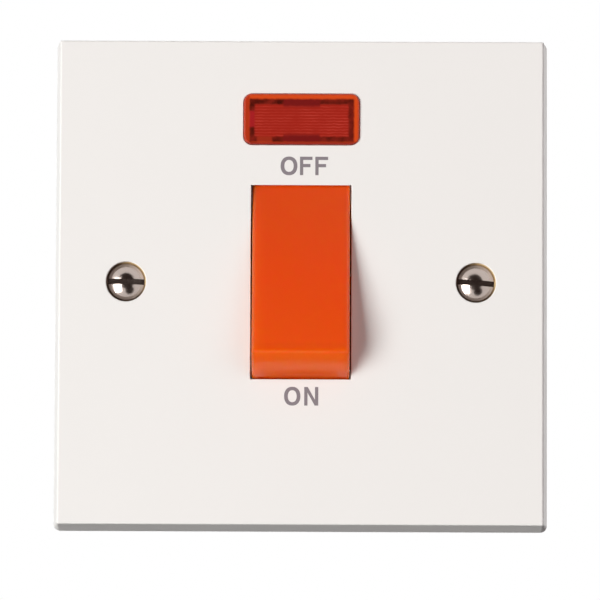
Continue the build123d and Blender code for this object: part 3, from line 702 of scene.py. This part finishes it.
def letter_n(width):
    slant = N_SLANT * STROKE
    notch = N_NOTCH * slant
    return [
        (0, 0),
        (STROKE, 0),
        (STROKE, CAP_HEIGHT - notch),
        (width - slant, 0),
        (width, 0),
        (width, CAP_HEIGHT),
        (width - STROKE, CAP_HEIGHT),
        (width - STROKE, notch),
        (slant, CAP_HEIGHT),
        (0, CAP_HEIGHT),
    ]


def add_outline(form, outline, x, z):
    """An outline as a thin film of ink on the face."""
    front = [form.verts.new((x + across, face_y - INK_THICKNESS, z + up)) for across, up in outline]
    back = [form.verts.new((x + across, face_y, z + up)) for across, up in outline]
    form.faces.new(front)
    form.faces.new(reversed(back))
    for i in range(len(outline)):
        j = (i + 1) % len(outline)
        form.faces.new((front[j], front[i], back[i], back[j]))


def rounded(angle, half_width, half_height):
    """A point on a full round O, a little squarer than an ellipse."""
    cosine = math.cos(angle)
    sine = math.sin(angle)
    across = math.copysign(abs(cosine) ** ROUND_FULLNESS, cosine)
    up = math.copysign(abs(sine) ** ROUND_FULLNESS, sine)
    return half_width * across, half_height * up


def add_ring(form, x, y, z, half_width, half_height):
    """Corners round an O at one depth."""
    ring = []
    for i in range(ROUND_STEPS):
        across, up = rounded(2 * math.pi * i / ROUND_STEPS, half_width, half_height)
        ring.append(form.verts.new((x + across, y, z + up)))
    return ring


def add_o(form, width, x, z):
    """A round O as a thin film of ink on the face."""
    half_width = width / 2
    half_height = CAP_HEIGHT / 2 + ROUND_OVERSHOOT
    middle_x = x + half_width
    middle_z = z + CAP_HEIGHT / 2
    rings = []
    for inset in (0, ROUND_STROKE):
        for y in (face_y - INK_THICKNESS, face_y):
            inner_height = half_height - inset * ROUND_THINNING
            rings.append(add_ring(form, middle_x, y, middle_z, half_width - inset, inner_height))
    outer_front, outer_back, inner_front, inner_back = rings
    for i in range(ROUND_STEPS):
        j = (i + 1) % ROUND_STEPS
        form.faces.new((outer_front[i], outer_front[j], inner_front[j], inner_front[i]))
        form.faces.new((outer_back[j], outer_back[i], inner_back[i], inner_back[j]))
        form.faces.new((outer_front[j], outer_front[i], outer_back[i], outer_back[j]))
        form.faces.new((inner_front[i], inner_front[j], inner_back[j], inner_back[i]))


OUTLINES = {"F": letter_f, "N": letter_n}


def add_word(name, letters, middle_z):
    form = bmesh.new()
    z = middle_z - CAP_HEIGHT / 2
    for shape, x, width in letters:
        if shape == "O":
            add_o(form, width, x, z)
        else:
            add_outline(form, OUTLINES[shape](width), x, z)
    bmesh.ops.recalc_face_normals(form, faces=form.faces)
    piece = mesh_object(name, form)
    piece.data.materials.append(INK)
    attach(piece, "housing")


# Screws: turned about Y from the head's crown (y = 0) to the tip, with a cut thread and slot
def dome(radius, height):
    """Points (radius, y) of a domed crown, from just off its middle to its rim."""
    sphere_r = (radius**2 + height**2) / (2 * height)
    full_turn = math.asin(radius / sphere_r)
    turns = [full_turn * (i + 1) / DOME_STEPS for i in range(DOME_STEPS)]
    return [(sphere_r * math.sin(turn), sphere_r * (1 - math.cos(turn))) for turn in turns]


def thread_points(turn, start, tip, radius, pitch):
    """Points of a thread along one side of a screw, which run out at its start and narrow to the tip."""
    points = []
    turns = math.ceil((tip - start) / pitch)
    for crest in range(-1, turns + 2):
        for share, depth in THREAD_PROFILE:
            y = start + pitch * (crest + share + turn)
            y = min(max(y, start), tip)
            fade = min(1.0, (y - start) / pitch)
            cut = radius - THREAD_DEPTH_PER_PITCH * pitch * depth * fade
            cone = radius - max(0.0, y - (tip - TIP_LENGTH))
            points.append((min(cut, cone), y))
    return points


def turned_screw(head, thread_start, tip, thread_r, pitch):
    """Columns of points round the axis, each a share of a turn further along the thread than the last."""
    form = bmesh.new()
    columns = []
    for segment in range(SCREW_SEGMENTS):
        share = segment / SCREW_SEGMENTS
        angle = 2 * math.pi * share
        points = head + thread_points(share, thread_start, tip, thread_r, pitch)
        corners = [(radius * math.cos(angle), y, radius * math.sin(angle)) for radius, y in points]
        columns.append([form.verts.new(corner) for corner in corners])
    crown = form.verts.new((0, 0, 0))
    end = form.verts.new((0, tip, 0))
    first_thread = len(head)
    last = len(columns[0]) - 1
    for segment, column in enumerate(columns):
        beside = list(columns[(segment + 1) % SCREW_SEGMENTS])
        if segment == SCREW_SEGMENTS - 1:
            turn_on = len(THREAD_PROFILE)
            beside[first_thread:] = beside[first_thread + turn_on:] + [beside[last]] * turn_on
        form.faces.new((crown, column[0], beside[0]))
        form.faces.new((end, beside[last], column[last]))
        for i in range(last):
            corners = dict.fromkeys((column[i], beside[i], beside[i + 1], column[i + 1]))
            form.faces.new(corners)
    bmesh.ops.remove_doubles(form, verts=form.verts, dist=MERGE_DISTANCE)
    bmesh.ops.recalc_face_normals(form, faces=form.faces)
    return mesh_object("screw", form)


def cut_slot(piece, slot, head_r):
    """A slot along X across the head, by a block centred on the crown that reaches past the rim."""
    width, depth = slot
    form = bmesh.new()
    bmesh.ops.create_cube(form, size=1.0)
    bmesh.ops.scale(form, vec=(3 * head_r, 2 * depth, width), verts=form.verts)
    cutter = mesh_object("slot_cutter", form)
    modifier = piece.modifiers.new("slot", "BOOLEAN")
    modifier.operation = "DIFFERENCE"
    modifier.object = cutter
    evaluated = piece.evaluated_get(bpy.context.evaluated_depsgraph_get())
    mesh = bpy.data.meshes.new_from_object(evaluated)
    piece.modifiers.clear()
    piece.data = mesh
    bpy.data.objects.remove(cutter)


def fixing_screw(length):
    rim_y = FIXING_DOME_HEIGHT + FIXING_HEAD_EDGE
    neck_y = rim_y + FIXING_HEAD_R - FIXING_SHANK_R
    head = dome(FIXING_HEAD_R, FIXING_DOME_HEIGHT) + [
        (FIXING_HEAD_R, rim_y),
        (FIXING_SHANK_R, neck_y),
        (FIXING_SHANK_R, FIXING_SHANK_END),
    ]
    piece = turned_screw(head, FIXING_SHANK_END, length, FIXING_THREAD_R, FIXING_PITCH)
    cut_slot(piece, FIXING_SLOT, FIXING_HEAD_R)
    return piece


def clamp_screw(length):
    head = [
        (CLAMP_HEAD_R - CLAMP_HEAD_EDGE, 0),
        (CLAMP_HEAD_R, CLAMP_HEAD_EDGE),
        (CLAMP_HEAD_R, CLAMP_HEAD_HEIGHT),
        (CLAMP_THREAD_R, CLAMP_HEAD_HEIGHT),
    ]
    piece = turned_screw(head, CLAMP_HEAD_HEIGHT, length, CLAMP_THREAD_R, CLAMP_PITCH)
    cut_slot(piece, CLAMP_SLOT, CLAMP_HEAD_R)
    return piece


def base_screw(length):
    head = dome(BASE_HEAD_R, BASE_HEAD_HEIGHT / 2) + [
        (BASE_HEAD_R, BASE_HEAD_HEIGHT),
        (BASE_THREAD_R, BASE_HEAD_HEIGHT),
    ]
    piece = turned_screw(head, BASE_HEAD_HEIGHT, length, BASE_THREAD_R, BASE_PITCH)
    cut_slot(piece, BASE_SLOT, BASE_HEAD_R)
    return piece


def add_screws(node, slot_name, make, spots, slot_turns, from_back):
    """Screws of one kind, joined: spots are (x, z), and those from the back have their heads there."""
    low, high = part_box(node)
    screw = make(high.y - low.y)
    crown_y = high.y if from_back else low.y
    facing = Matrix.Rotation(math.pi if from_back else 0, 4, "Z")
    joined = bmesh.new()
    for (x, z), slot_turn in zip(spots, slot_turns):
        turn = facing @ Matrix.Rotation(math.radians(slot_turn), 4, "Y")
        mesh = screw.data.copy()
        mesh.transform(Matrix.Translation((x, crown_y, z)) @ turn)
        joined.from_mesh(mesh)
    bpy.data.objects.remove(screw)
    bmesh.ops.dissolve_degenerate(joined, dist=MERGE_DISTANCE, edges=joined.edges)
    piece = mesh_object(f"{node}_threaded", joined)
    for polygon in piece.data.polygons:
        polygon.use_smooth = True
    piece.data.set_sharp_from_angle(angle=SHARP_ANGLE)
    outfit(piece, "housing", slot_name)
    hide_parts(node)
    return piece


def clamp_spots():
    """Places (x, z) of the two screws in each of the four terminals."""
    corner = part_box("terminal_screws")[1]
    clamp_x = corner.x - CLAMP_HEAD_R
    outer_z = corner.z - CLAMP_HEAD_R
    inner_z = outer_z - CLAMP_SPACING
    return [(x, z) for x in (-clamp_x, clamp_x) for z in (inner_z, outer_z, -inner_z, -outer_z)]


# Plunger springs, wound as in the CAD, set on the rocker
def add_spring(side):
    node = frame["nodes"][f"plunger_spring_{side}"]
    piece = bpy.data.objects.new(f"plunger_spring_{side}_wound", node.data.copy())
    bpy.context.scene.collection.objects.link(piece)
    outfit(piece, "rocker", "spring_steel")
    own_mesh(piece)
    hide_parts(node.name)


# Camera
def aim(thing, target, roll=0.0):
    direction = target - thing.location
    turn = direction.to_track_quat("-Z", "Y")
    thing.rotation_mode = "QUATERNION"
    thing.rotation_quaternion = turn @ Quaternion((0, 0, 1), math.radians(roll))


def add_camera():
    data = bpy.data.cameras.new("camera")
    data.sensor_width = SENSOR_MM
    data.lens = SENSOR_MM * PHOTO_PX_PER_MM * CAMERA_DISTANCE / MM / PHOTO_SIDE
    data.clip_start = CAMERA_NEAR
    camera = bpy.data.objects.new("camera", data)
    bpy.context.scene.collection.objects.link(camera)
    middle = PHOTO_SIDE / 2
    across = (middle - PHOTO_CENTRE_PX[0]) / PHOTO_PX_PER_MM * MM
    up = (PHOTO_CENTRE_PX[1] - middle) / PHOTO_PX_PER_MM * MM
    target = Vector((across, face_y, up))
    azimuth = math.radians(CAMERA_AZIMUTH)
    elevation = math.radians(CAMERA_ELEVATION)
    level = math.cos(elevation)
    away = Vector((math.sin(azimuth) * level, -math.cos(azimuth) * level, math.sin(elevation)))
    camera.location = target + CAMERA_DISTANCE * away
    aim(camera, target, CAMERA_ROLL)
    bpy.context.scene.camera = camera


# Light
def add_softbox(name, lamp, mirrored=False):
    """A flat lamp aimed at the object, kept out of mirror images unless it is to show there."""
    direction, distance, width, height, level = lamp
    data = bpy.data.lights.new(name, "AREA")
    data.shape = "RECTANGLE"
    data.size = width
    data.size_y = height
    data.energy = level * (math.pi * distance) ** 2
    softbox = bpy.data.objects.new(name, data)
    bpy.context.scene.collection.objects.link(softbox)
    softbox.location = Vector(direction).normalized() * distance
    softbox.visible_glossy = mirrored
    aim(softbox, Vector((0, 0, 0)))
    return softbox


def add_glint(name, lamp, piece):
    """A lamp that only makes a highlight, and only on one piece."""
    softbox = add_softbox(name, lamp, mirrored=True)
    lit = bpy.data.collections.new(name)
    lit.objects.link(piece)
    softbox.light_linking.receiver_collection = lit
    softbox.visible_diffuse = False


# Floor, cards and the white behind
def seen_directly(tree):
    """1 to the camera, mirrors and glass, and 0 to light that falls on surfaces."""
    path = tree.nodes.new("ShaderNodeLightPath")
    mirrored = math_node(tree, "ADD", path.outputs["Is Camera Ray"], path.outputs["Is Glossy Ray"])
    seen = math_node(tree, "ADD", mirrored, path.outputs["Is Transmission Ray"])
    seen.node.use_clamp = True
    return seen


def mix_seen(tree, lit, seen, output):
    """Sends one shader to surfaces that it lights and another to what sees it directly."""
    mix = tree.nodes.new("ShaderNodeMixShader")
    tree.links.new(seen_directly(tree), mix.inputs[0])
    tree.links.new(lit.outputs[0], mix.inputs[1])
    tree.links.new(seen.outputs[0], mix.inputs[2])
    tree.links.new(mix.outputs[0], output.inputs["Surface"])


def add_floor():
    """Pale paper far below, which adds no light to the object."""
    form = bmesh.new()
    bmesh.ops.create_grid(form, x_segments=1, y_segments=1, size=FLOOR_SIDE / 2)
    floor = mesh_object("floor", form)
    floor.location.z = FLOOR_Z
    material, tree, shader = new_material("floor_paper")
    set_sockets(shader, Base_Color=FLOOR_COLOUR)
    uneven_roughness(tree, shader, FLOOR_MOTTLE_SCALE, PAPER_ROUGHNESS)
    pale = tree.nodes.new("ShaderNodeEmission")
    pale.inputs["Color"].default_value = FLOOR_COLOUR
    mix_seen(tree, shader, pale, tree.nodes["Material Output"])
    floor.data.materials.append(material)
    floor.visible_diffuse = False


def add_card(name, card, turn):
    """A dark round card, seen only in reflections."""
    place, width, height, colour = card
    form = bmesh.new()
    bmesh.ops.create_circle(form, cap_ends=True, segments=CARD_SEGMENTS, radius=0.5)
    piece = mesh_object(name, form)
    piece.location = place
    piece.rotation_euler = turn
    piece.scale = (width, height, 1)
    material, tree, shader = new_material(name)
    set_sockets(shader, Base_Color=srgb(*colour))
    uneven_roughness(tree, shader, CARD_MOTTLE_SCALE, PAPER_ROUGHNESS)
    piece.data.materials.append(material)
    piece.visible_camera = False
    piece.visible_diffuse = False
    piece.visible_shadow = False
    piece.visible_transmission = False


def add_world():
    """White over the floor to the camera, mirrors and glass, and a low even light on the rest."""
    world = bpy.data.worlds.new("studio")
    bpy.context.scene.world = world
    world.use_nodes = True
    tree = world.node_tree
    tree.nodes.clear()
    place = tree.nodes.new("ShaderNodeTexCoord")
    split = tree.nodes.new("ShaderNodeSeparateXYZ")
    tree.links.new(place.outputs["Generated"], split.inputs[0])
    up = split.outputs["Z"]
    seen = tree.nodes.new("ShaderNodeBackground")
    above = between(tree, up, -HORIZON_DROP, 0, 0, 1)
    tree.links.new(blend_colours(tree, above, FLOOR_COLOUR, WHITE), seen.inputs["Color"])
    light = tree.nodes.new("ShaderNodeBackground")
    light.inputs["Color"].default_value = WHITE
    tree.links.new(between(tree, up, -1, 1, AMBIENT_LOW, AMBIENT_HIGH), light.inputs["Strength"])
    mix_seen(tree, light, seen, tree.nodes.new("ShaderNodeOutputWorld"))


# The object: print, screws and springs, then the finishes of the CAD nodes
add_word("print_off", OFF_LETTERS, OFF_Z)
add_word("print_on", ON_LETTERS, ON_Z)

fixing_spots = [(-fixing_x, 0), (fixing_x, 0)]
fixing_screws = add_screws(
    "fixing_screws", "nickel_screw", fixing_screw, fixing_spots, FIXING_SLOT_TURNS, from_back=False
)
add_screws(
    "terminal_screws", "zinc_screw", clamp_screw, clamp_spots(), CLAMP_SLOT_TURNS, from_back=True
)
base_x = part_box("base_screws")[1].x - BASE_HEAD_R
base_spots = [(-base_x, 0), (base_x, 0)]
add_screws("base_screws", "zinc_screw", base_screw, base_spots, BASE_SLOT_TURNS, from_back=True)

add_spring("left")
add_spring("right")

for spec in frame["record"]["subparts"]:
    node = frame["nodes"][spec["node"]]
    node.data.materials.clear()
    node.data.materials.append(MATERIALS[spec["material_slot"]])

# The studio
add_camera()
add_world()
add_floor()
add_card("camera_card", CAMERA_CARD, UPRIGHT)
add_card("stand_card", STAND_CARD, UPRIGHT)
add_card("cloth_card", CLOTH_CARD, LEVEL)
add_softbox("key", KEY_LAMP)
add_glint("glint", GLINT_LAMP, fixing_screws)
add_softbox("fill", FILL_LAMP).data.color = FILL_COLOUR
add_softbox("top_rim", TOP_RIM_LAMP)
add_softbox("back", BACK_LAMP)
bpy.context.scene.view_settings.view_transform = "Standard"
